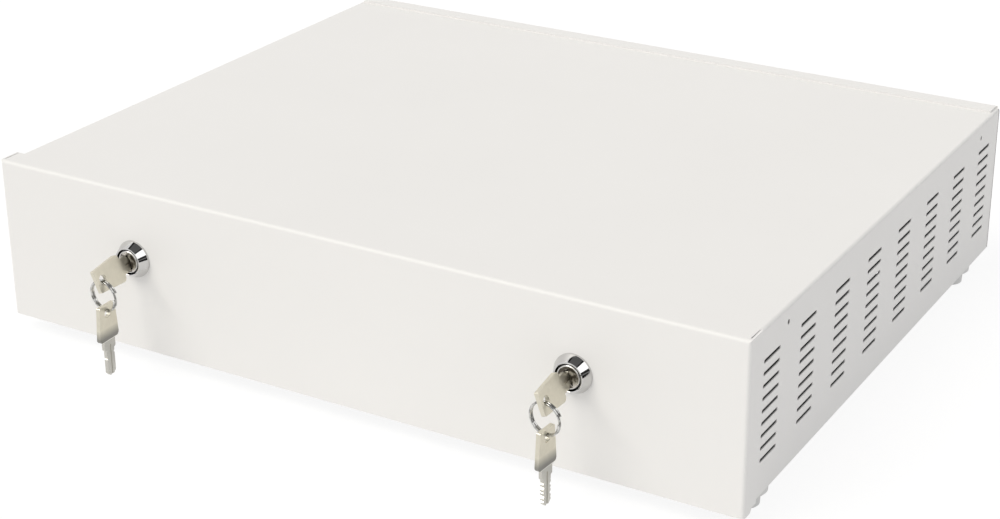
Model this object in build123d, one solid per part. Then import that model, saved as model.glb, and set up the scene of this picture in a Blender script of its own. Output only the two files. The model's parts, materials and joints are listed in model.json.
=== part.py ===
from build123d import *
import os
from math import cos, radians, sin

# A sheet-steel lock box for a video recorder: a vented cabinet, a drop-down front door with two
# keyed cam locks, and a spare key hanging from each inserted key.
# Millimetres, +X right, +Z up, and the door faces -Y. Shapes are drawn with y = 0 on the door's face
# and z = 0 on the cabinet's underside, and are then moved together to the finished frame, whose
# origin is on the floor under the middle of the bounding box.

# Cabinet
box_width = 500.0            # over the door's side flanges
box_depth = 400.0            # door's face to the back of the rear panel
cabinet_height = 99.0        # underside to the top of the cover, without feet
sheet = 1.2
bend = 2.0                   # outside radius of a bend
door_gap = 0.3               # door's flanges to the cabinet
front_setback = 3.0          # door's face to the front edge of the cabinet
rear_setback = 0.8           # cover's rear edge to the inside of the rear panel
lip = 12.0                   # the cover's stiffening lips around the front opening
relief = 1.0                 # clearance of a notch where folds meet
tray_wall = 12.0             # upturned edges of the base tray
rear_side_flange = 15.0
rear_top_flange = 13.5

# Side vents
vent_columns = 8
vent_rows = 9
vent_length = 21.0
vent_width = 2.2
vent_corner = 0.6            # bevel at the four corners of a vent
first_vent_y = 31.5
last_vent_inset = 29.0       # middle of the rearmost vents to the box's rear
lowest_vent_z = 21.3
top_vent_drop = 19.7
hanging_hole = 3.0           # small holes under the top edge of each side
hanging_hole_drop = 9.6
front_hanging_hole_y = 51.6
rear_hanging_hole_inset = 37.0

# Rear cable opening
cable_slot_length = 120.0
cable_slot_height = 30.0
cable_slot_z = 44.0
trim_lip = 2.5               # rubber trim over the sheet's edge
trim_wall = 1.5

# Mounting holes in the base tray
mount_hole = 6.5
mount_inset_x = 50.0
mount_inset_y = 80.0

# Door
door_flange = 15.0           # depth of the top and side flanges
door_drop = 2.5              # door's lower edge below the cabinet
low_flange = 9.0             # depth of the side flanges below the cabinet
low_corner = 2.0
corner_slit = 0.7            # open corner between top and side flanges
slit_start = 3.0

# Hinge
hinge_inset = 15.0           # hinge's ends in from the sides of the box
hinge_knuckles = 13
hinge_sheet = 0.8
knuckle_radius = 1.6
pin_radius = 0.7
pin_clearance = 0.05
knuckle_gap = 0.3            # between knuckles, and from them to the sheets beside them
door_leaf_width = 12.5
body_leaf_width = 14.0
hinge_rivets = 5
rivet_reach = 8.4            # rivets' centres behind the hinge's axis
rivet_radius = 1.6
rivet_head_radius = 3.0
rivet_set_radius = 2.4       # spread end inside the tray
rivet_head = 1.1
rivet_head_bevel = 0.8
rivet_clearance = 0.05

# Feet
foot_inset_x = 12.0          # foot's centre in from the side of the cover
foot_front_y = 33.4
foot_rear_inset = 39.4       # rear feet's centres to the box's rear
foot_height = 13.0
foot_collar_radius = 11.6
foot_collar = 4.3
foot_radius = 7.9
foot_tip_radius = 7.5
foot_bevel = 0.8
foot_recess_radius = 4.4
foot_recess = 7.0
foot_screw_radius = 2.0
foot_screw_clearance = 0.25
foot_screw_head_radius = 3.8
foot_screw_head = 2.4
foot_screw_head_bevel = 1.0
foot_nut_flats = 7.0
foot_nut = 3.2
foot_screw_beyond_nut = 1.2

# Locks
lock_inset = 101.0           # lock's axis in from the side of the box
lock_z = 57.0
bezel_radius = 11.6
bezel_edge = 0.9
bezel_tip_radius = 8.8
bezel_height = 6.4
bezel_bevel = 0.3
rim_radius = 7.9             # groove between the bezel and the plug
rim_depth = 2.0
barrel_radius = 9.5
barrel_flats = 16.0
barrel_length = 16.0
barrel_clearance = 0.1       # barrel in the door's hole, and in its nut
lock_nut_flats = 22.0
lock_nut = 4.0
plug_radius = 7.0
plug_clearance = 0.05
plug_recess = 0.5            # plug's face behind the bezel's rim
plug_chamfer = 0.35
plug_end_gap = 0.1           # plug's shoulder short of the barrel's end
tail_square = 8.0
tail_corner_radius = 5.5
cam_thickness = 2.0
cam_reach = 36.0
cam_width = 15.0
cam_hub_radius = 9.0
cam_clearance = 0.1
cam_running_gap = 0.1
cam_washer_radius = 6.0
cam_washer = 0.8
cam_screw_radius = 2.0
cam_screw_clearance = 0.05
cam_screw_depth = 5.0
cam_screw_flats = 7.0
cam_screw_head = 2.8

# Strikes that the cams turn up behind
strike_sheet = 1.5
strike_width = 60.0
strike_drop = 12.0
strike_depth = 18.0
strike_gap = 0.3             # strike to cam

# Keys
key_thickness = 2.0
key_head_thickness = 2.6
key_head_length = 22.4
key_head_width = 17.6
key_head_end_width = 13.8
key_head_round = 2.6
key_end_round = 0.8
key_shoulder_length = 6.0
key_shoulder_width = 10.0
key_shoulder_round = 1.0
blade_length = 16.7
blade_width = 7.2
blade_tip = 2.0
blade_groove_width = 1.5
blade_groove = 0.45
key_hole_radius = 2.8
key_hole_inset = 5.0
key_droop = 3.0              # inserted key's lean in its keyway
keyway_clearance = 0.15
keyway_mouth = 2.5
ward_steps = 3
ward_width = 1.3
ward_narrow = 0.7
ward_height = 9.8
bitting_pitch = 2.65
bitting_start = 2.8

# Split rings
wire_radius = 0.72
ring_radius = 9.5            # to the middle of the wire
ring_turns = 1.94
ring_turn_gap = 0.06
ring_drop = 1.05             # wire's middle below the middle of the inserted key's hole
ring_lean = 5.0              # ring's foot towards the door
spare_drop = 1.6             # spare key's hole below the wire that it hangs on

# Each lock's own values: side of the box, turn of the keyway, how far the key stands out,
# turns of the ring and the hanging key, and the depths of the cuts along each edge of its keys.
LOCKS = {
    "left": {
        "side": -1, "keyway_turn": 21.2, "key_pull": 0.8, "ring_turn": -5.0, "spare_turn": 3.0,
        "near_cuts": (0.0, 0.6, 0.0, 0.0, 0.0), "far_cuts": (0.9, 0.0, 0.0, 0.0, 0.0),
    },
    "right": {
        "side": 1, "keyway_turn": 18.3, "key_pull": 2.6, "ring_turn": -8.0, "spare_turn": -3.5,
        "near_cuts": (0.7, 1.1, 0.5, 1.2, 0.8), "far_cuts": (0.5, 1.2, 0.8, 1.3, 0.6),
    },
}

# Places that follow from the sizes above
cover_half = box_width / 2 - sheet - door_gap
inner_half = cover_half - sheet
cover_rear = box_depth - sheet - rear_setback
door_top = cabinet_height + door_gap + sheet
hinge_y = sheet + knuckle_gap + knuckle_radius
hinge_z = -knuckle_gap - knuckle_radius
bezel_face = -bezel_height
plug_face = bezel_face + plug_recess
barrel_end = barrel_length
cam_front = barrel_end + cam_running_gap
cam_back = cam_front + cam_thickness
tail_end = cam_back
key_length = blade_length + key_shoulder_length + key_head_length
key_hole_at = key_length - key_hole_inset
ring_pitch = 2 * wire_radius + ring_turn_gap
ring_width = ring_turns * ring_pitch
foot_x = cover_half - foot_inset_x
foot_rear_y = box_depth - foot_rear_inset
lock_spacing = box_width - 2 * lock_inset
hinge_length = box_width - 2 * hinge_inset
rivet_y = hinge_y + rivet_reach
mount_spacing_x = box_width - 2 * mount_inset_x
mount_spacing_y = box_depth - 2 * mount_inset_y
vents_long = box_depth - first_vent_y - last_vent_inset
vents_high = cabinet_height - lowest_vent_z - top_vent_drop
hanging_hole_ys = (front_hanging_hole_y, box_depth - rear_hanging_hole_inset)


def block(x0, x1, y0, y1, z0, z1):
    """A box between two corners."""
    middle = Pos((x0 + x1) / 2, (y0 + y1) / 2, (z0 + z1) / 2)
    return middle * Box(x1 - x0, y1 - y0, z1 - z0)


def along_y(sketch, y0, y1):
    """A front-view outline, x and z, extruded from y0 back to y1."""
    return extrude(Plane.XZ.offset(-y1) * sketch, y1 - y0)


def rod_z(radius, z0, z1):
    """An upright cylinder."""
    return Pos(0, 0, z0) * Cylinder(radius, z1 - z0, align=(Align.CENTER, Align.CENTER, Align.MIN))


def pin_z(radius, z0, z1):
    """An upright twelve-sided pin, for small round fasteners."""
    return Pos(0, 0, z0) * extrude(RegularPolygon(radius, 12), z1 - z0)


def hexagon(flats):
    """A hexagon given by the distance across its flats."""
    return RegularPolygon(flats / 2, 6, major_radius=False)


def both_sides(piece):
    """A piece and its mirror image in the middle plane of the box."""
    return piece + mirror(piece, Plane.YZ)


def edges_on(solid, axis, **limits):
    """The edges along an axis whose middles lie at the given coordinates."""
    def lies_there(edge):
        middle = edge.center()
        places = {"x": abs(middle.X), "y": middle.Y, "z": middle.Z}
        return all(abs(places[name] - value) < 0.01 for name, value in limits.items())
    return [edge for edge in solid.edges().filter_by(axis) if lies_there(edge)]


def foot_places():
    """Name, x and y of each foot."""
    return [
        ("foot_front_left", -foot_x, foot_front_y),
        ("foot_front_right", foot_x, foot_front_y),
        ("foot_rear_left", -foot_x, foot_rear_y),
        ("foot_rear_right", foot_x, foot_rear_y),
    ]


def rivet_xs():
    """The places of the hinge rivets along the cabinet's front edge."""
    pitch = hinge_length / hinge_rivets
    return [(number - (hinge_rivets - 1) / 2) * pitch for number in range(hinge_rivets)]


def make_vents():
    """Every vent of one side, lying in XY with its length along X and upwards along Y."""
    long, high = vent_length / 2, vent_width / 2
    right_end = [(long - vent_corner, -high), (long, vent_corner - high), (long, high - vent_corner)]
    right_end += [(long - vent_corner, high)]
    vent = make_face(Polyline(*right_end, *[(-x, -y) for x, y in right_end], close=True))
    middle = Pos(first_vent_y + vents_long / 2, lowest_vent_z + vents_high / 2)
    pitches = vents_long / (vent_columns - 1), vents_high / (vent_rows - 1)
    return Sketch() + [middle * place * vent for place in GridLocations(*pitches, vent_columns, vent_rows)]


def make_wrapper_cover():
    """Top and sides bent from one sheet, with lips around the front opening and vents in both sides."""
    outside = block(-cover_half, cover_half, front_setback, cover_rear, 0, cabinet_height)
    bends = edges_on(outside, Axis.Y, x=cover_half, z=cabinet_height)
    bends += edges_on(outside, Axis.X, y=front_setback, z=cabinet_height)
    bends += edges_on(outside, Axis.Z, x=cover_half, y=front_setback)
    rounded = fillet(bends, bend)
    open_faces = [rounded.faces().sort_by(Axis.Z)[0], rounded.faces().sort_by(Axis.Y)[-1]]
    cover = offset(rounded, -sheet, openings=open_faces)
    opening_half = cover_half - lip
    opening_top = cabinet_height - lip
    behind_lips = front_setback + sheet
    cover -= block(-opening_half, opening_half, 0, behind_lips, -1, opening_top)
    corner = block(
        cover_half - bend - relief, cover_half + 1, 0, front_setback + bend,
        cabinet_height - bend - relief, cabinet_height + 1,
    )
    mitre = Pos(cover_half - lip / 2, front_setback, cabinet_height - lip / 2)
    mitre *= Rot(0, 45, 0) * Box(relief / 2, 2 * sheet + 1, 3 * lip)
    cover -= both_sides(corner + mitre)
    cover -= extrude(Plane.YZ * make_vents(), cover_half + 1, both=True)
    for y in hanging_hole_ys:
        hole = Pos(0, y, cabinet_height - hanging_hole_drop) * Rot(0, 90, 0)
        cover -= hole * Cylinder(hanging_hole / 2, 2 * cover_half + 2)
    return cover


def make_rear_panel():
    """Rear sheet with side flanges inside the cover, a top flange over it and a cable opening."""
    top = cabinet_height + sheet
    outside = block(-inner_half, inner_half, box_depth - rear_side_flange, box_depth, 0, top)
    bends = edges_on(outside, Axis.Z, x=inner_half, y=box_depth)
    bends += edges_on(outside, Axis.X, y=box_depth, z=top)
    rounded = fillet(bends, bend)
    open_faces = [rounded.faces().sort_by(Axis.Z)[0], rounded.faces().sort_by(Axis.Y)[0]]
    panel = offset(rounded, -sheet, openings=open_faces)
    flat_half = cover_half - bend - relief / 2
    under_top = cabinet_height - sheet - bend
    panel -= both_sides(block(flat_half, cover_half + 1, 0, cover_rear, under_top, top + 1))
    panel -= block(-box_width, box_width, 0, box_depth - rear_top_flange, cabinet_height - 1, top + 1)
    slot = Pos(0, cable_slot_z) * SlotOverall(cable_slot_length, cable_slot_height)
    return panel - along_y(slot, box_depth - 2 * sheet, box_depth + 1)


def make_cable_trim():
    """Rubber trim that grips the edge of the cable opening from both sides."""
    inside = box_depth - sheet
    rim = SlotOverall(cable_slot_length + 2 * trim_lip, cable_slot_height + 2 * trim_lip)
    edge = SlotOverall(cable_slot_length, cable_slot_height)
    bore = SlotOverall(cable_slot_length - 2 * trim_wall, cable_slot_height - 2 * trim_wall)
    trim = along_y(rim - bore, inside - trim_wall, box_depth + trim_wall)
    trim -= along_y(rim - edge, inside, box_depth)
    return Pos(0, 0, cable_slot_z) * trim


def make_base_tray():
    """Bottom sheet with upturned edges, notched at the corners, and its screw holes."""
    wall_top = sheet + tray_wall
    rear = box_depth - sheet
    outside = block(-inner_half, inner_half, front_setback, rear, 0, wall_top)
    bends = edges_on(outside, Axis.Y, x=inner_half, z=0)
    bends += edges_on(outside, Axis.X, z=0)
    rounded = fillet(bends, bend)
    tray = offset(rounded, -sheet, openings=[rounded.faces().sort_by(Axis.Z)[-1]])
    lip_half = cover_half - lip - relief
    rear_half = inner_half - bend - relief / 2
    rear_notch = box_depth - rear_side_flange - relief
    tray -= both_sides(block(lip_half, box_width, 0, front_setback + sheet + relief, -1, wall_top + 1))
    tray -= both_sides(block(rear_half, box_width, rear_notch, box_depth, -1, wall_top + 1))
    for name, x, y in foot_places():
        tray -= Pos(x, y) * rod_z(foot_screw_radius + foot_screw_clearance, -1, sheet + 1)
    for place in GridLocations(mount_spacing_x, mount_spacing_y, 2, 2):
        tray -= Pos(0, box_depth / 2) * place * rod_z(mount_hole / 2, -1, sheet + 1)
    for x in rivet_xs():
        tray -= Pos(x, rivet_y) * rod_z(rivet_radius + rivet_clearance, -1, sheet + 1)
    return tray


def lock_outline(clearance):
    """Round with two flats: the barrel of a lock, or with clearance the hole for it."""
    flats = barrel_flats + 2 * clearance
    radius = barrel_radius + clearance
    return Circle(radius) & Rectangle(2 * radius + 1, flats)


def make_front_door():
    """Folded pan that closes over the cabinet's front, open along its lower edge."""
    half = box_width / 2
    outside = block(-half, half, 0, door_flange, -door_drop, door_top)
    bends = edges_on(outside, Axis.X, y=0, z=door_top)
    bends += edges_on(outside, Axis.Z, x=half, y=0)
    rounded = fillet(bends, bend)
    open_faces = [rounded.faces().sort_by(Axis.Z)[0], rounded.faces().sort_by(Axis.Y)[-1]]
    door = offset(rounded, -sheet, openings=open_faces)
    flange_end = half - sheet
    slit = block(
        flange_end - corner_slit, flange_end, slit_start, door_flange + 1,
        door_top - sheet - 1, door_top + 1,
    )
    below = block(flange_end - 1, half + 1, low_flange, door_flange + 1, -door_drop - 1, 0)
    door -= both_sides(slit + below)
    lower_corners = edges_on(door, Axis.X, y=low_flange, z=-door_drop)
    door = fillet(lower_corners, low_corner)
    for lock in LOCKS.values():
        hole = Pos(lock["side"] * lock_spacing / 2, lock_z) * lock_outline(barrel_clearance)
        door -= along_y(hole, -1, sheet + 1)
    return door


def make_hinge_leaf(first, width, rivet_holes):
    """A leaf of the piano hinge about its own axis, standing up from it, with every second knuckle."""
    outer = -(knuckle_radius + knuckle_gap)
    plate_start = knuckle_radius + 2 * knuckle_gap
    strip = Pos(outer + hinge_sheet / 2, (plate_start + width) / 2)
    strip *= Rectangle(hinge_sheet, width - plate_start)
    neck = Pos(outer + hinge_sheet / 2, plate_start / 2) * Rectangle(hinge_sheet, plate_start)
    knuckle = Circle(knuckle_radius) + neck - Circle(pin_radius + pin_clearance)
    pitch = hinge_length / hinge_knuckles
    leaf = Pos(-hinge_length / 2) * extrude(Plane.YZ * strip, hinge_length)
    knuckle_solid = extrude(Plane.YZ * knuckle, pitch - knuckle_gap)
    for number in range(first, hinge_knuckles, 2):
        start = -hinge_length / 2 + number * pitch + knuckle_gap / 2
        leaf += Pos(start) * knuckle_solid
    if rivet_holes:
        hole = Rot(90, 0, 0) * Cylinder(rivet_radius + rivet_clearance, 4 * knuckle_radius)
        for x in rivet_xs():
            leaf -= Pos(x, outer, rivet_y - hinge_y) * hole
    return leaf


def make_hinge_door_leaf():
    """The leaf spot-welded to the inside of the door."""
    return Pos(0, hinge_y, hinge_z) * make_hinge_leaf(1, door_leaf_width, False)


def make_hinge_body_leaf():
    """The leaf riveted under the cabinet."""
    return Pos(0, hinge_y, hinge_z) * Rot(-90, 0, 0) * make_hinge_leaf(0, body_leaf_width, True)


def make_hinge_pin():
    """The wire through all the knuckles."""
    return Pos(0, hinge_y, hinge_z) * Rot(0, 90, 0) * Cylinder(pin_radius, hinge_length)


def make_hinge_rivets():
    """Blind rivets that hold the lower leaf, heads outside and set ends inside the tray."""
    head = pin_z(rivet_head_radius, -hinge_sheet - rivet_head, -hinge_sheet)
    head = chamfer(head.edges().group_by(Axis.Z)[0], rivet_head_bevel)
    shank = pin_z(rivet_radius, -hinge_sheet, sheet)
    set_end = pin_z(rivet_set_radius, sheet, sheet + rivet_head)
    rivet = head + shank + set_end
    return Compound(children=[Pos(x, rivet_y) * rivet for x in rivet_xs()])


def make_foot():
    """A stepped rubber foot with a recess for its screw, about its own axis."""
    profile = Polyline(
        (foot_screw_radius + foot_screw_clearance, 0), (foot_collar_radius, 0),
        (foot_collar_radius, -foot_collar), (foot_radius, -foot_collar),
        (foot_tip_radius, -foot_height), (foot_recess_radius, -foot_height),
        (foot_recess_radius, foot_recess - foot_height),
        (foot_screw_radius + foot_screw_clearance, foot_recess - foot_height), close=True,
    )
    foot = revolve(Plane.XZ * make_face(profile), Axis.Z)
    rims = [
        edge for edge in foot.edges().filter_by(GeomType.CIRCLE)
        if edge.radius > foot_recess_radius + 1 and edge.radius != foot_radius and edge.center().Z < -1
    ]
    return chamfer(rims, foot_bevel)


def make_foot_screws():
    """Pan-head screws up through the feet and the tray."""
    seat = foot_recess - foot_height
    head = pin_z(foot_screw_head_radius, seat - foot_screw_head, seat)
    head = chamfer(head.edges().group_by(Axis.Z)[0], foot_screw_head_bevel)
    shank = pin_z(foot_screw_radius, seat, sheet + foot_nut + foot_screw_beyond_nut)
    screw = head + shank
    return Compound(children=[Pos(x, y) * screw for name, x, y in foot_places()])


def make_foot_nuts():
    """Hexagon nuts on the foot screws, inside the tray."""
    blank = extrude(hexagon(foot_nut_flats), foot_nut)
    nut = Pos(0, 0, sheet) * (blank - rod_z(foot_screw_radius, 0, foot_nut))
    return Compound(children=[Pos(x, y) * nut for name, x, y in foot_places()])


def make_strike(lock):
    """Angle bracket under the cover's top, whose drop the turned-up cam lies behind."""
    under = cabinet_height - sheet
    back = cam_front - strike_gap
    half = strike_width / 2
    front = back - strike_sheet
    outside = block(-half, half, front, front + strike_depth, under - strike_drop, under)
    rounded = fillet(edges_on(outside, Axis.X, y=front, z=under), bend)
    hollow = block(
        -half, half, back, front + strike_depth + 1, under - strike_drop - 1, under - strike_sheet,
    )
    hollow = fillet(edges_on(hollow, Axis.X, y=back, z=under - strike_sheet), bend - strike_sheet)
    return Pos(lock["side"] * lock_spacing / 2) * (rounded - hollow)


def make_lock_housing():
    """Bezel with a conical face and a barrel with two flats, about the lock's axis."""
    profile = Polyline(
        (plug_radius + plug_clearance, 1), (bezel_radius - 1, 1), (bezel_radius - 1, 0),
        (bezel_radius, 0), (bezel_radius, -bezel_edge), (bezel_tip_radius, bezel_face),
        (rim_radius, bezel_face), (rim_radius, bezel_face + rim_depth),
        (plug_radius + plug_clearance, bezel_face + rim_depth), close=True,
    )
    bezel = revolve(make_face(profile), Axis.Y) - along_y(Circle(bezel_radius + 1), 0, 2)
    rims = [
        edge for edge in bezel.edges().filter_by(GeomType.CIRCLE)
        if abs(edge.center().Y - bezel_face) < 0.01 or abs(edge.center().Y + bezel_edge) < 0.01
    ]
    bezel = chamfer(rims, bezel_bevel)
    bore = Circle(plug_radius + plug_clearance)
    return bezel + along_y(lock_outline(0) - bore, 0, barrel_end)


def make_lock_nut():
    """The nut that clamps the barrel behind the door."""
    hole = Circle(barrel_radius + barrel_clearance)
    nut = along_y(hexagon(lock_nut_flats) - hole, sheet, sheet + lock_nut)
    corners = Rot(-90, 0, 0) * Cone(lock_nut_flats / 2 + lock_nut, lock_nut_flats / 2, lock_nut)
    return nut & Pos(0, sheet + lock_nut / 2) * corners


def make_keyway(lock):
    """The keyway's section, high enough for the blade to lean in it."""
    lean = blade_length * sin(radians(key_droop))
    slot = Rectangle(key_thickness + 2 * keyway_clearance, blade_width + lean + 2 * keyway_clearance)
    return Rot(0, 0, lock["keyway_turn"]) * slot


def make_ward_mouth(lock):
    """The stepped recess beside the blade in the plug's face."""
    step = ward_height / ward_steps
    start = key_thickness / 2
    mouth = Sketch()
    for number in range(ward_steps):
        reach = ward_width if number % 2 else ward_narrow
        height = (number - (ward_steps - 1) / 2) * step
        mouth += Pos(start + reach / 2, height) * Rectangle(reach, step)
    return Rot(0, 0, lock["keyway_turn"]) * mouth


def make_lock_plug(lock):
    """The turning core: keyway through it, and a square tail that drives the cam."""
    shoulder = barrel_end - plug_end_gap
    plug = along_y(Circle(plug_radius), plug_face, shoulder)
    plug = chamfer(plug.edges().sort_by(Axis.Y)[0], plug_chamfer)
    plug += along_y(Rectangle(tail_square, tail_square) & Circle(tail_corner_radius), shoulder, tail_end)
    keyway_end = plug_face + blade_length + keyway_clearance
    plug -= along_y(make_keyway(lock), plug_face - 1, keyway_end)
    plug -= along_y(make_ward_mouth(lock), plug_face - 1, plug_face + keyway_mouth)
    screw_hole = Circle(cam_screw_radius + cam_screw_clearance)
    return plug - along_y(screw_hole, tail_end - cam_screw_depth, tail_end + 1)


def make_lock_cam(lock):
    """Flat cam, drawn pointing to the middle of the box, where it leaves the door free."""
    arm = Pos((cam_reach - cam_width / 2) / 2) * SlotOverall(cam_reach + cam_width / 2, cam_width)
    tail = Rectangle(tail_square, tail_square) & Circle(tail_corner_radius)
    outline = arm + Circle(cam_hub_radius) - offset(tail, cam_clearance, kind=Kind.INTERSECTION)
    outline = Rot(0, 0, 180 if lock["side"] > 0 else 0) * outline
    return along_y(outline, cam_front, cam_back)


def make_cam_washer():
    """Washer between the cam and its screw."""
    outline = Circle(cam_washer_radius) - Circle(cam_screw_radius + cam_screw_clearance)
    return along_y(outline, cam_back, cam_back + cam_washer)


def make_cam_screw():
    """Hexagon screw into the plug's tail."""
    seat = cam_back + cam_washer
    head = along_y(hexagon(cam_screw_flats), seat, seat + cam_screw_head)
    tip = tail_end - cam_screw_depth + 2 * cam_screw_clearance
    return head + along_y(Circle(cam_screw_radius), tip, seat)


def blade_edge(depths):
    """One edge of the blade from the shoulder's end to the tip, with a vee for each cut."""
    half = blade_width / 2
    points = [(blade_length, half)]
    for number, depth in enumerate(depths):
        at = blade_length - bitting_start - number * bitting_pitch
        if depth > 0:
            points += [(at + depth, half), (at, half - depth), (at - depth, half)]
    return points + [(blade_tip, half), (0, half - blade_tip)]


def make_key(lock):
    """A flat key lying in XY, its tip at x = 0 and its head towards +X."""
    near = blade_edge(lock["near_cuts"])
    far = [(x, -y) for x, y in reversed(blade_edge(lock["far_cuts"]))]
    blade = make_face(Polyline(*near[::-1], *far[::-1], close=True))
    shoulder_end = blade_length + key_shoulder_length
    shoulder = Pos(blade_length + key_shoulder_length / 2)
    shoulder *= Rectangle(key_shoulder_length, key_shoulder_width)
    shoulder = fillet(shoulder.vertices().sort_by(Axis.X)[:2], key_shoulder_round)
    wide, narrow = key_head_width / 2, key_head_end_width / 2
    head = make_face(Polyline(
        (shoulder_end, wide), (key_length, narrow), (key_length, -narrow), (shoulder_end, -wide),
        close=True,
    ))
    corners = head.vertices().sort_by(Axis.X)
    head = fillet(corners[:2], key_head_round)
    head = fillet(head.vertices().sort_by(Axis.X)[-2:], key_end_round)
    key = extrude(blade + shoulder, key_thickness / 2, both=True)
    key += extrude(head, key_head_thickness / 2, both=True)
    key -= Pos(key_hole_at) * Cylinder(key_hole_radius, 2 * key_head_thickness)
    groove_end = blade_length + key_shoulder_length / 2
    groove = block(
        -1, groove_end, -blade_groove_width / 2, blade_groove_width / 2,
        key_thickness / 2 - blade_groove, key_thickness,
    )
    return key - groove - mirror(groove, Plane.XY)


def down_the_keyway(lock):
    """The keyway's own downward direction, which lies in the inserted key's plane."""
    turn = radians(lock["keyway_turn"])
    return Vector(sin(turn), 0, -cos(turn))


def key_plane(lock):
    """The inserted key's plane: its tip at the origin, and its head towards -Y and drooping."""
    turn, droop = radians(lock["keyway_turn"]), radians(key_droop)
    along = cos(droop) * Vector(0, -1, 0) + sin(droop) * down_the_keyway(lock)
    blade_y = plug_face + blade_length / 2 - lock["key_pull"]
    blade_middle = Vector(lock["side"] * lock_spacing / 2, blade_y, lock_z)
    tip = blade_middle - along * (blade_length / 2)
    return Plane(origin=tip, x_dir=along, z_dir=(cos(turn), 0, sin(turn)))


def key_hole_place(lock):
    """The middle of the inserted key's hole."""
    plane = key_plane(lock)
    return plane.origin + plane.x_dir * key_hole_at


def ring_place(lock):
    """The ring's place, with its two strands at the top through the inserted key's hole."""
    contact = key_hole_place(lock) + down_the_keyway(lock) * ring_drop
    strands_at_top = ring_pitch * (0.75 + 0.5) - ring_width / 2
    return Pos(contact) * Rot(ring_lean, 0, lock["ring_turn"]) * Pos(0, -strands_at_top, -ring_radius)


def spare_hole_place(lock):
    """The middle of the hanging key's hole, with the two strands at the ring's foot through it."""
    strands_at_foot = ring_pitch * (0.25 + 0.5) - ring_width / 2
    foot = ring_place(lock) * Pos(0, strands_at_foot, -ring_radius)
    return foot.position - Vector(0, 0, spare_drop)


def spare_plane(lock):
    """The hanging key's plane: its tip at the origin, its head upwards."""
    turn = radians(lock["spare_turn"])
    hole = spare_hole_place(lock)
    return Plane(
        origin=(hole.X, hole.Y, hole.Z - key_hole_at), x_dir=(0, 0, 1), z_dir=(cos(turn), sin(turn), 0),
    )


def make_split_ring():
    """Two turns of wire pressed side by side, about the Y axis, starting at +X and going down."""
    path = Helix(pitch=ring_pitch, height=ring_width, radius=ring_radius)
    section = Plane(origin=path @ 0, z_dir=path % 0) * RegularPolygon(wire_radius, 8)
    coil = Solid.sweep(section.faces()[0], path, is_frenet=True)
    return Rot(-90, 0, 0) * Pos(0, 0, -ring_width / 2) * Part(coil.wrapped)


def lock_shapes(name, lock):
    """One lock with its strike and keys: everything that comes twice, once for each side."""
    place = Pos(lock["side"] * lock_spacing / 2, 0, lock_z)
    key = make_key(lock)
    return {
        f"lock_housing_{name}": place * make_lock_housing(),
        f"lock_nut_{name}": place * make_lock_nut(),
        f"lock_plug_{name}": place * make_lock_plug(lock),
        f"lock_cam_{name}": place * make_lock_cam(lock),
        f"cam_washer_{name}": place * make_cam_washer(),
        f"cam_screw_{name}": place * make_cam_screw(),
        f"strike_{name}": make_strike(lock),
        f"key_{name}": key_plane(lock).location * key,
        f"key_ring_{name}": ring_place(lock) * make_split_ring(),
        f"spare_key_{name}": spare_plane(lock).location * key,
    }


def all_shapes():
    """Every piece by name."""
    shapes = {
        "wrapper_cover": make_wrapper_cover(),
        "rear_panel": make_rear_panel(),
        "cable_trim": make_cable_trim(),
        "base_tray": make_base_tray(),
        "front_door": make_front_door(),
        "hinge_door_leaf": make_hinge_door_leaf(),
        "hinge_body_leaf": make_hinge_body_leaf(),
        "hinge_pin": make_hinge_pin(),
        "hinge_rivets": make_hinge_rivets(),
        "foot_screws": make_foot_screws(),
        "foot_nuts": make_foot_nuts(),
    }
    foot = make_foot()
    for name, x, y in foot_places():
        shapes[name] = Pos(x, y) * foot
    for name, lock in LOCKS.items():
        shapes |= lock_shapes(name, lock)
    return shapes


shapes = all_shapes()
boxes = [shape.bounding_box() for shape in shapes.values()]
middle_y = (min(box.min.Y for box in boxes) + max(box.max.Y for box in boxes)) / 2
to_floor = Pos(0, -middle_y, foot_height)

os.makedirs("parts", exist_ok=True)
for name, shape in shapes.items():
    export_step(to_floor * shape, f"parts/{name}.step")

print("middle y:", round(middle_y, 4))
print("hinge axis y, z:", round(hinge_y - middle_y, 3), hinge_z + foot_height)
for name, lock in LOCKS.items():
    print(name, "lock", lock["side"] * lock_spacing / 2, round(-middle_y, 3), lock_z + foot_height)
    print(name, "key hole", (to_floor * Pos(key_hole_place(lock))).position)
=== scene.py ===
import json
from math import cos, pi, radians, sin

import bpy
from mathutils import Matrix, Vector


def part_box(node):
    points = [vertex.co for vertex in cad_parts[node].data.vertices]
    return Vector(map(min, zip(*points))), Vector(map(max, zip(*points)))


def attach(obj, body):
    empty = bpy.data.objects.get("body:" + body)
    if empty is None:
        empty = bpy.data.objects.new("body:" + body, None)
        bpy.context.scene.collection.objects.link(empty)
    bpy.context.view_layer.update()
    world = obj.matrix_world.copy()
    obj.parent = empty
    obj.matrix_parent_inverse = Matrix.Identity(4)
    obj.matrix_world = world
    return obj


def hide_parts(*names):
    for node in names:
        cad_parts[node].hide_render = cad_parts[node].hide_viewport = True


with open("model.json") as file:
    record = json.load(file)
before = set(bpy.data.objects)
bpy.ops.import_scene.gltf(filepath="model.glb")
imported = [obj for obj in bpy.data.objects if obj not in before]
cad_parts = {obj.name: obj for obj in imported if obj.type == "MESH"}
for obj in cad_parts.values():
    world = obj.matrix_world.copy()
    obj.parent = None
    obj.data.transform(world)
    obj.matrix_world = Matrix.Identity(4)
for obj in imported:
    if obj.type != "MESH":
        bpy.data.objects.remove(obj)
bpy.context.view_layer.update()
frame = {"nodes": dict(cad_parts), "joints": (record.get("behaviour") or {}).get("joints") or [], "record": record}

# The looks of a white sheet-steel lock box with two keyed cam locks. Metres, +Z up, door facing -Y.
MM = 0.001
SIDES = ("left", "right")
joints = {joint["name"]: joint for joint in frame["joints"]}
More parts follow.
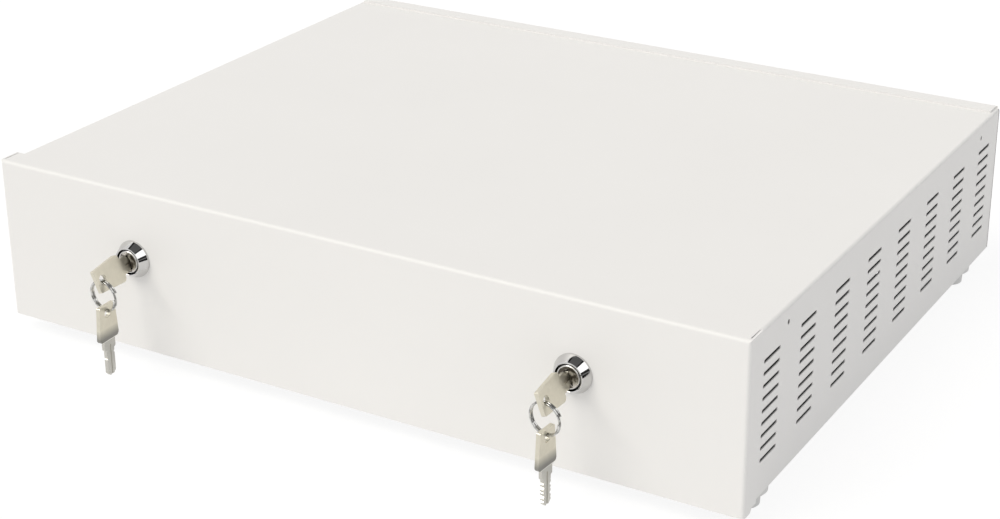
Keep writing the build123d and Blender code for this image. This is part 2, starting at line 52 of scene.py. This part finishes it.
door_face = joints["plug_turn_left"]["pos_m"][1]
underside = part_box("base_tray")[0].z

# Photograph's camera
CAMERA_AZIMUTH = radians(29.451)
CAMERA_ELEVATION = radians(22.216)
CAMERA_ROLL = radians(0.159)
CAMERA_OFFSET = (115.8 * MM, 120.2 * MM, 1171.8 * MM)    # right, up and back from the door's lower middle
SENSOR = 36.0                            # millimetres, as the focal length is
FOCAL_LENGTH = 73.73
SHIFT_X = -0.0468
SHIFT_Y = -0.0671

# Light
WHITE = (1, 1, 1, 1)
SKY_LEVEL = 0.57
SKY_COLOUR = (0.995, 0.992, 1.0, 1.0)
SKY_RIGHT = 0.03                         # more sky from the right, which fills the shaded side
SUN_LEVEL = 1.54
SUN_SPREAD = radians(40)
SUN_FROM = Vector((-0.36, -0.51, 0.78))
SUN_COLOUR = (1.0, 0.965, 0.89)

# Floor
FLOOR_REACH = 4.0                        # from the middle to each edge
FLOOR_SEEN = 0.18                        # how white and how bright of itself it is to the camera,
FLOOR_SEEN_GLOW = 0.86
FLOOR_LIT = 0.60                         # and to the light that it throws back
FLOOR_LIT_GLOW = 0.30
TABLE_END = 0.55                         # beyond it to the right, reflections find the dark studio

# What polished metal reflects: bands between two angles, in degrees over the right-hand horizon, with
# their own level and how far each one reaches to the front and back. Later bands lie over earlier ones.
STUDIO_LEVEL = 0.95
BAND_REACH = 0.6
STUDIO_BANDS = [
    (21, 55, 1.75, BAND_REACH),          # softbox
    (55, 118, 0.02, BAND_REACH),         # dark ceiling
    (62, 108, 0.13, BAND_REACH),         # its paler middle
    (-12, 21, 0.03, 0.86),               # dark wall to the right
    (5.5, 8.5, 0.35, BAND_REACH),        # pale stripe along it
]

# Cover
HALF_SHEET = 0.6 * MM                    # half its thickness, which tells its inner face from its outer one
SEAM_SHADE = 1.3 * MM                    # shaded strip beside the rear seam
PAINT_OUTSIDE = ((0.865, 0.858, 0.846), (0.89, 0.883, 0.871))
# painted shade: near-black colour on the faces inside the cabinet, which darkens the vents and gaps
INSIDE_SHADE_COLOURS = ((0.09, 0.09, 0.088), (0.13, 0.13, 0.128))
SEAM_SHADE_COLOUR = (0.36, 0.355, 0.35)

# Locks
PLUG_FACE_RADIUS = 6.25 * MM             # within the plug's bright edge
PLUG_WALL = 0.5 * MM                     # depth of the bright edge with its painted highlight, with the dark groove's wall behind it
# the plug's bright metal, with a painted highlight along its chamfered edge
PLUG_EDGE_HIGHLIGHT_COLOUR = (0.82, 0.81, 0.79)
# dark patches on the plug's face, and painted shade where they fall on its wall in the groove
PLUG_DARK_PATCHES = (0.09, 0.08, 0.065)
PLUG_WORN = (0.66, 0.63, 0.58)
WEAR_CONTRAST = 6.0                      # how sharply dark and worn patches meet,
WEAR_OFFSET = -2.7                       # and which take more room; -2.5 shares it evenly
GROOVE_RADIUS = 8.0 * MM
# painted shade in the deep groove around the plug, with dirt
GROOVE_SHADE_AND_DIRT = (0.02, 0.02, 0.02)

# Keys
KEY_EDGE = 0.22 * MM                     # width of the bevel
EDGE_ANGLE = radians(40)                 # edges sharper than this are bevelled
HOLE_TO_LEDGE = 17.4 * MM                # hanging key's hole to the lower end of its head
LEDGE = 0.35 * MM                        # height of the painted highlight line there
DARK_REFLECTION_HEIGHT = 8.5 * MM                # from the ledge up to where the painted dark reflection ends
DARK_REFLECTION_STRENGTH = 1.35                           # over 1, it is full for a way above the ledge
# painted dark reflection on the hanging keys' heads, and painted highlight along their ledge
DARK_REFLECTION_COLOUR = (0.30, 0.295, 0.275)
LEDGE_HIGHLIGHT_COLOUR = (0.95, 0.94, 0.90)
BLADE_COLOUR = (0.63, 0.62, 0.58)

# Split ring, along the CAD wire, but round, and a little thinner, which lets it swing clear
WIRE_RADIUS = 0.64 * MM
RING_RADIUS = 9.5 * MM
RING_TURNS = 1.94
RING_PITCH = 1.5 * MM
TURNS_TO_CONTACT = 1.25                  # middle of the two strands that hang in the key's hole
STEPS_PER_TURN = 96
WIRE_SIDES = 16
RING_DROP = 1.05 * MM                    # below the middle of the inserted key's hole
RING_LEAN = radians(5)                   # its lower end lies nearer the door
RING_TURN = {"left": radians(-5), "right": radians(-8)}          # about the upright
KEYWAY_TURN = {"left": radians(21.2), "right": radians(18.3)}    # its lower end lies to the right


def add_node(tree, kind, inputs=(), **settings):
    """A shader node with its settings, and its inputs set to values or linked to sockets."""
    node = tree.nodes.new(kind)
    for name, value in settings.items():
        setattr(node, name, value)
    for name, value in dict(inputs).items():
        if isinstance(value, bpy.types.NodeSocket):
            tree.links.new(value, node.inputs[name])
        else:
            node.inputs[name].default_value = value
    return node


def maths(tree, operation, first, second=0.0, third=0.0, clamp=False):
    """A Math node's result."""
    inputs = {0: first, 1: second, 2: third}
    return add_node(tree, "ShaderNodeMath", inputs, operation=operation, use_clamp=clamp).outputs[0]


def noise(tree, place, scale, detail=2.0, roughness=0.5):
    """A noise texture's value between 0 and 1."""
    inputs = {"Vector": place, "Scale": scale, "Detail": detail, "Roughness": roughness}
    return add_node(tree, "ShaderNodeTexNoise", inputs).outputs["Fac"]


def blend_colours(tree, amount, first, second):
    """One colour fading into another."""
    mix = add_node(tree, "ShaderNodeMix", data_type="RGBA")
    colours = [socket for socket in mix.inputs if socket.type == "RGBA"]
    tree.links.new(amount, mix.inputs["Factor"])
    for socket, colour in zip(colours, (first, second)):
        if isinstance(colour, bpy.types.NodeSocket):
            tree.links.new(colour, socket)
        else:
            socket.default_value = (*colour, 1.0)
    return next(socket for socket in mix.outputs if socket.type == "RGBA")


def between(tree, amount, low, high):
    """A value from low to high as amount goes from 0 to 1."""
    return maths(tree, "MULTIPLY_ADD", amount, high - low, low)


def new_material(name, **uniform):
    """A material, its node tree, its shader and the place on the object in metres."""
    material = bpy.data.materials.new(name)
    material.use_nodes = True
    tree = material.node_tree
    shader = tree.nodes["Principled BSDF"]
    for socket, value in uniform.items():
        shader.inputs[socket.replace("_", " ")].default_value = value
    place = add_node(tree, "ShaderNodeTexCoord").outputs["Object"]
    return material, tree, shader, place


def roughen(tree, shader, height, strength, distance):
    """Bump from a height."""
    inputs = {"Height": height, "Strength": strength, "Distance": distance}
    bump = add_node(tree, "ShaderNodeBump", inputs)
    tree.links.new(bump.outputs["Normal"], shader.inputs["Normal"])


def inside_range(tree, value, low, high):
    """1 where a value lies between two limits, otherwise 0."""
    above = maths(tree, "GREATER_THAN", value, low)
    return maths(tree, "MULTIPLY", above, maths(tree, "LESS_THAN", value, high))


def inside_cabinet(tree, place):
    """1 on the faces that look into the closed cabinet, otherwise 0."""
    low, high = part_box("wrapper_cover")
    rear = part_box("rear_panel")[1].y
    parts = add_node(tree, "ShaderNodeSeparateXYZ", {0: place})
    across = inside_range(tree, parts.outputs["X"], low.x + HALF_SHEET, high.x - HALF_SHEET)
    along = inside_range(tree, parts.outputs["Y"], low.y + HALF_SHEET, rear - HALF_SHEET)
    upright = inside_range(tree, parts.outputs["Z"], low.z + HALF_SHEET, high.z - HALF_SHEET)
    return maths(tree, "MULTIPLY", across, maths(tree, "MULTIPLY", along, upright))


def rear_seam(tree, place):
    """1 along the rear edge of the cover's sides, beside the seam to the rear panel, otherwise 0."""
    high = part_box("wrapper_cover")[1]
    parts = add_node(tree, "ShaderNodeSeparateXYZ", {0: place})
    aside = maths(tree, "GREATER_THAN", maths(tree, "ABSOLUTE", parts.outputs["X"]), high.x - HALF_SHEET)
    along = inside_range(tree, parts.outputs["Y"], high.y - SEAM_SHADE, high.y + MM)
    return maths(tree, "MULTIPLY", aside, along)


def white_paint():
    """Satin white powder coat with a fine orange-peel grain, near-black painted shade on the faces inside the
    cabinet, and a strip of painted shade beside the rear seam.
    """
    material, tree, shader, place = new_material("white_paint", Specular_IOR_Level=0.4)
    cloud = noise(tree, place, 9.0, 3.0)
    outside = blend_colours(tree, cloud, *PAINT_OUTSIDE)
    # painted shade on the faces inside the cabinet
    inside = blend_colours(tree, cloud, *INSIDE_SHADE_COLOURS)
    colour = blend_colours(tree, inside_cabinet(tree, place), outside, inside)
    # painted shade in a strip beside the rear seam
    colour = blend_colours(tree, rear_seam(tree, place), colour, SEAM_SHADE_COLOUR)
    tree.links.new(colour, shader.inputs["Base Color"])
    tree.links.new(between(tree, noise(tree, place, 60.0), 0.40, 0.52), shader.inputs["Roughness"])
    roughen(tree, shader, noise(tree, place, 700.0, 2.0), 0.25, 0.05 * MM)
    return material


def polished(name, dull, bright, roughness, grain=0.1, contrast=1.0):
    """Bare or plated metal: its colour and roughness vary over the surface between two values each."""
    material, tree, shader, place = new_material(name, Metallic=1.0)
    patches = noise(tree, place, 350.0, 3.0)
    patches = maths(tree, "MULTIPLY_ADD", patches, contrast, 0.5 - 0.5 * contrast, clamp=True)
    tree.links.new(blend_colours(tree, patches, dull, bright), shader.inputs["Base Color"])
    fine = noise(tree, place, 2500.0, 3.0)
    tree.links.new(between(tree, fine, *roughness), shader.inputs["Roughness"])
    roughen(tree, shader, noise(tree, place, 4000.0, 2.0), grain, 0.01 * MM)
    return material


def off_lock_axis(tree, place):
    """Distance from the nearer lock's axis, squared."""
    middle = joints["plug_turn_right"]["pos_m"]
    parts = add_node(tree, "ShaderNodeSeparateXYZ", {0: place})
    aside = maths(tree, "SUBTRACT", maths(tree, "ABSOLUTE", parts.outputs["X"]), middle[0])
    above = maths(tree, "SUBTRACT", parts.outputs["Z"], middle[2])
    return maths(tree, "MULTIPLY_ADD", above, above, maths(tree, "MULTIPLY", aside, aside))


def chrome():
    """Polished chrome, with near-black colour in the groove around the plug: painted shade of the deep gap, and
    dirt.
    """
    material = polished("chrome", (0.60, 0.595, 0.59), (0.66, 0.655, 0.65), (0.03, 0.07), grain=0.02)
    tree = material.node_tree
    shader = tree.nodes["Principled BSDF"]
    place = next(node for node in tree.nodes if node.type == "TEX_COORD").outputs["Object"]
    bright = shader.inputs["Base Color"].links[0].from_socket
    groove = maths(tree, "LESS_THAN", off_lock_axis(tree, place), GROOVE_RADIUS ** 2)
    tree.links.new(blend_colours(tree, groove, bright, GROOVE_SHADE_AND_DIRT), shader.inputs["Base Color"])
    return material


def plug_metal():
    """The plug: a dark face with worn patches, within a bright edge of bright metal with a painted highlight, and
    a dark wall in the groove, which is painted shade.
    """
    material, tree, shader, place = new_material("plug_metal", Metallic=1.0)
    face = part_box("lock_plug_right")[0].y
    depth = add_node(tree, "ShaderNodeSeparateXYZ", {0: place}).outputs["Y"]
    outer = maths(tree, "GREATER_THAN", off_lock_axis(tree, place), PLUG_FACE_RADIUS ** 2)
    edge = maths(tree, "MULTIPLY", outer, maths(tree, "LESS_THAN", depth, face + PLUG_WALL))
    cloud = noise(tree, place, 330.0, 3.0)
    patches = maths(tree, "MULTIPLY_ADD", cloud, WEAR_CONTRAST, WEAR_OFFSET, clamp=True)
    worn = blend_colours(tree, patches, PLUG_DARK_PATCHES, PLUG_WORN)
    # painted highlight on the bright edge; painted shade on the wall in the groove
    tree.links.new(blend_colours(tree, edge, worn, PLUG_EDGE_HIGHLIGHT_COLOUR), shader.inputs["Base Color"])
    tree.links.new(between(tree, noise(tree, place, 2500.0, 3.0), 0.25, 0.42), shader.inputs["Roughness"])
    roughen(tree, shader, noise(tree, place, 1500.0, 3.0), 0.4, 0.02 * MM)
    return material


def key_nickel():
    """Satin nickel: warm, with a painted dark reflection above a painted highlight line along the ledge on the
    hanging keys, and greyer blades.
    """
    material = polished("key_nickel", (0.70, 0.665, 0.56), (0.80, 0.765, 0.655), (0.28, 0.42), grain=0.3)
    tree = material.node_tree
    shader = tree.nodes["Principled BSDF"]
    place = next(node for node in tree.nodes if node.type == "TEX_COORD").outputs["Object"]
    warm = shader.inputs["Base Color"].links[0].from_socket
    ledge = joints["hanging_key_swing_left"]["pos_m"][2] - HOLE_TO_LEDGE
    height = add_node(tree, "ShaderNodeSeparateXYZ", {0: place}).outputs["Z"]
    above = maths(tree, "DIVIDE", maths(tree, "SUBTRACT", height, ledge), DARK_REFLECTION_HEIGHT)
    # painted dark reflection, fading upwards from the ledge
    dark_reflection = maths(tree, "MULTIPLY", maths(tree, "SUBTRACT", 1.0, above), DARK_REFLECTION_STRENGTH, clamp=True)
    colour = blend_colours(tree, dark_reflection, warm, DARK_REFLECTION_COLOUR)
    # painted highlight along the ledge
    colour = blend_colours(tree, maths(tree, "LESS_THAN", height, ledge + LEDGE), colour, LEDGE_HIGHLIGHT_COLOUR)
    colour = blend_colours(tree, maths(tree, "LESS_THAN", height, ledge), colour, BLADE_COLOUR)
    tree.links.new(colour, shader.inputs["Base Color"])
    return material


def rubber(name, dark, pale):
    """Matt rubber with a fine grain."""
    material, tree, shader, place = new_material(name, Specular_IOR_Level=0.3)
    colour = blend_colours(tree, noise(tree, place, 150.0, 3.0), dark, pale)
    tree.links.new(colour, shader.inputs["Base Color"])
    tree.links.new(between(tree, noise(tree, place, 900.0), 0.65, 0.85), shader.inputs["Roughness"])
    roughen(tree, shader, noise(tree, place, 1600.0, 3.0), 0.3, 0.03 * MM)
    return material


WIRE_COLOURS = ((0.26, 0.26, 0.25), (0.72, 0.72, 0.71))
PLATING_COLOURS = ((0.48, 0.49, 0.50), (0.62, 0.63, 0.64))
MATERIALS = {
    "white_paint": white_paint(),
    "chrome": chrome(),
    "plug_metal": plug_metal(),
    "key_nickel": key_nickel(),
    "bright_wire": polished("bright_wire", *WIRE_COLOURS, (0.08, 0.14), contrast=3.5),
    "plated_steel": polished("plated_steel", *PLATING_COLOURS, (0.25, 0.40), grain=0.2),
    "pale_rubber": rubber("pale_rubber", (0.74, 0.74, 0.73), (0.82, 0.82, 0.81)),
    "black_rubber": rubber("black_rubber", (0.015, 0.015, 0.015), (0.05, 0.05, 0.05)),
}


def dress_nodes():
    """Give every CAD node the material of its slot."""
    for subpart in frame["record"]["subparts"]:
        node = frame["nodes"][subpart["node"]]
        node.data.materials.clear()
        node.data.materials.append(MATERIALS[subpart["material_slot"]])


def soften(node, width):
    """Small bevels along a CAD node's sharp edges."""
    bevel = node.modifiers.new("edges", "BEVEL")
    bevel.width = width
    bevel.segments = 2
    bevel.limit_method = "ANGLE"
    bevel.angle_limit = EDGE_ANGLE


def mesh_piece(name, vertices, faces, material, body, replaced):
    """A smooth mesh that rides on a body and stands for a CAD node."""
    mesh = bpy.data.meshes.new(name)
    mesh.from_pydata(vertices, [], faces)
    mesh.update()
    mesh.polygons.foreach_set("use_smooth", [True] * len(faces))
    mesh.materials.append(MATERIALS[material])
    piece = bpy.data.objects.new(name, mesh)
    bpy.context.scene.collection.objects.link(piece)
    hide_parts(replaced)
    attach(piece, body)


def make_ring(side):
    """A split ring: almost two turns of round wire, side by side."""
    width = RING_TURNS * RING_PITCH
    down = Vector((sin(KEYWAY_TURN[side]), 0, -cos(KEYWAY_TURN[side])))
    contact = Vector(joints[f"ring_swing_{side}"]["pos_m"]) + down * RING_DROP
    turned = Matrix.Rotation(RING_LEAN, 3, "X") @ Matrix.Rotation(RING_TURN[side], 3, "Z")
    below_contact = Vector((0, width / 2 - TURNS_TO_CONTACT * RING_PITCH, -RING_RADIUS))
    steps = round(STEPS_PER_TURN * RING_TURNS)
    vertices = []
    for step in range(steps + 1):
        turn = step / steps * RING_TURNS * 2 * pi
        outward = Vector((cos(turn), 0, -sin(turn)))
        along = Vector((0, turn / (2 * pi) * RING_PITCH - width / 2, 0))
        centre = below_contact + outward * RING_RADIUS + along
        for side_number in range(WIRE_SIDES):
            angle = side_number / WIRE_SIDES * 2 * pi
            rim = (outward * cos(angle) + Vector((0, 1, 0)) * sin(angle)) * WIRE_RADIUS
            vertices.append(contact + turned @ (centre + rim))
    faces = []
    for step in range(steps):
        here, there = step * WIRE_SIDES, (step + 1) * WIRE_SIDES
        for this in range(WIRE_SIDES):
            following = (this + 1) % WIRE_SIDES
            faces.append((here + this, there + this, there + following, here + following))
    last = steps * WIRE_SIDES
    faces.append(tuple(range(WIRE_SIDES)))
    faces.append(tuple(range(last + WIRE_SIDES - 1, last - 1, -1)))
    mesh_piece(f"split_ring_{side}", vertices, faces, "bright_wire", f"ring_{side}", f"key_ring_{side}")


def make_floor():
    """A pale floor that shows white to the camera and keeps the object's shadow."""
    material = bpy.data.materials.new("floor")
    material.use_nodes = True
    tree = material.node_tree
    tree.nodes.clear()
    path = add_node(tree, "ShaderNodeLightPath")
    place = add_node(tree, "ShaderNodeTexCoord").outputs["Object"]
    seen = path.outputs["Is Camera Ray"]
    across = add_node(tree, "ShaderNodeSeparateXYZ", {0: place}).outputs["X"]
    past_table = maths(tree, "GREATER_THAN", across, TABLE_END)
    beyond = maths(tree, "MULTIPLY", path.outputs["Is Glossy Ray"], past_table)
    near = maths(tree, "SUBTRACT", 1.0, beyond)
    white = maths(tree, "MULTIPLY", near, between(tree, seen, FLOOR_LIT, FLOOR_SEEN))
    matt = add_node(tree, "ShaderNodeBsdfDiffuse", {"Color": white})
    glow_level = maths(tree, "MULTIPLY", near, between(tree, seen, FLOOR_LIT_GLOW, FLOOR_SEEN_GLOW))
    glow = add_node(tree, "ShaderNodeEmission", {"Strength": glow_level})
    both = add_node(tree, "ShaderNodeAddShader", {0: matt.outputs[0], 1: glow.outputs[0]})
    add_node(tree, "ShaderNodeOutputMaterial", {"Surface": both.outputs[0]})
    corners = [(x * FLOOR_REACH, y * FLOOR_REACH, 0) for x, y in ((-1, -1), (1, -1), (1, 1), (-1, 1))]
    mesh = bpy.data.meshes.new("floor")
    mesh.from_pydata(corners, [], [(0, 1, 2, 3)])
    mesh.materials.append(material)
    floor = bpy.data.objects.new("floor", mesh)
    bpy.context.scene.collection.objects.link(floor)


def banded(tree, level, band, angle, depth):
    """A level, replaced by a band's own between the band's two angles and within its reach."""
    low, high, own, reach = band
    within = maths(tree, "LESS_THAN", depth, reach)
    inside = maths(tree, "MULTIPLY", inside_range(tree, angle, low, high), within)
    other = maths(tree, "MULTIPLY", level, maths(tree, "SUBTRACT", 1.0, inside))
    return maths(tree, "MULTIPLY_ADD", inside, own, other)


def make_world():
    """White to the camera, an even sky for the light, and softboxes with dark gaps for reflections."""
    world = bpy.data.worlds.new("studio")
    bpy.context.scene.world = world
    world.use_nodes = True
    tree = world.node_tree
    tree.nodes.clear()
    path = add_node(tree, "ShaderNodeLightPath")
    white = add_node(tree, "ShaderNodeBackground", {"Color": WHITE, "Strength": 1.0})
    direction = add_node(tree, "ShaderNodeTexCoord").outputs["Generated"]
    parts = add_node(tree, "ShaderNodeSeparateXYZ", {0: direction})
    rightwards = maths(tree, "MAXIMUM", parts.outputs["X"], 0.0)
    sky_level = maths(tree, "MULTIPLY_ADD", rightwards, SKY_RIGHT, SKY_LEVEL)
    sky = add_node(tree, "ShaderNodeBackground", {"Color": SKY_COLOUR, "Strength": sky_level})
    turn = maths(tree, "ARCTAN2", parts.outputs["Z"], parts.outputs["X"])
    angle = maths(tree, "MULTIPLY", turn, 180 / pi)
    depth = maths(tree, "ABSOLUTE", parts.outputs["Y"])
    level = STUDIO_LEVEL
    for band in STUDIO_BANDS:
        level = banded(tree, level, band, angle, depth)
    studio = add_node(tree, "ShaderNodeBackground", {"Color": WHITE, "Strength": level})
    glossy, camera = path.outputs["Is Glossy Ray"], path.outputs["Is Camera Ray"]
    lit = add_node(tree, "ShaderNodeMixShader", {0: glossy, 1: sky.outputs[0], 2: studio.outputs[0]})
    seen = add_node(tree, "ShaderNodeMixShader", {0: camera, 1: lit.outputs[0], 2: white.outputs[0]})
    add_node(tree, "ShaderNodeOutputWorld", {"Surface": seen.outputs[0]})


def make_sun():
    """One broad soft light from the front, above and to the left."""
    lamp = bpy.data.lights.new("key_light", "SUN")
    lamp.energy = SUN_LEVEL
    lamp.angle = SUN_SPREAD
    lamp.color = SUN_COLOUR
    sun = bpy.data.objects.new("key_light", lamp)
    sun.rotation_mode = "QUATERNION"
    sun.rotation_quaternion = SUN_FROM.to_track_quat("Z", "Y")
    bpy.context.scene.collection.objects.link(sun)


def make_camera():
    """The photograph's viewpoint, set from the middle of the door's lower edge."""
    back = Vector((
        sin(CAMERA_AZIMUTH) * cos(CAMERA_ELEVATION),
        -cos(CAMERA_AZIMUTH) * cos(CAMERA_ELEVATION),
        sin(CAMERA_ELEVATION),
    ))
    level = Vector((cos(CAMERA_AZIMUTH), sin(CAMERA_AZIMUTH), 0))
    upright = back.cross(level)
    right = level * cos(CAMERA_ROLL) + upright * sin(CAMERA_ROLL)
    up = upright * cos(CAMERA_ROLL) - level * sin(CAMERA_ROLL)
    aside, above, behind = CAMERA_OFFSET
    location = Vector((0, door_face, underside)) + right * aside + up * above + back * behind
    lens = bpy.data.cameras.new("camera")
    lens.sensor_width = SENSOR
    lens.lens = FOCAL_LENGTH
    lens.shift_x = SHIFT_X
    lens.shift_y = SHIFT_Y
    camera = bpy.data.objects.new("camera", lens)
    camera.matrix_world = Matrix.Translation(location) @ Matrix((right, up, back)).transposed().to_4x4()
    bpy.context.scene.collection.objects.link(camera)
    bpy.context.scene.camera = camera


dress_nodes()
for side in SIDES:
    make_ring(side)
    for key in ("key", "spare_key"):
        soften(frame["nodes"][f"{key}_{side}"], KEY_EDGE)
make_floor()
make_world()
make_sun()
make_camera()
bpy.context.scene.view_settings.view_transform = "Standard"
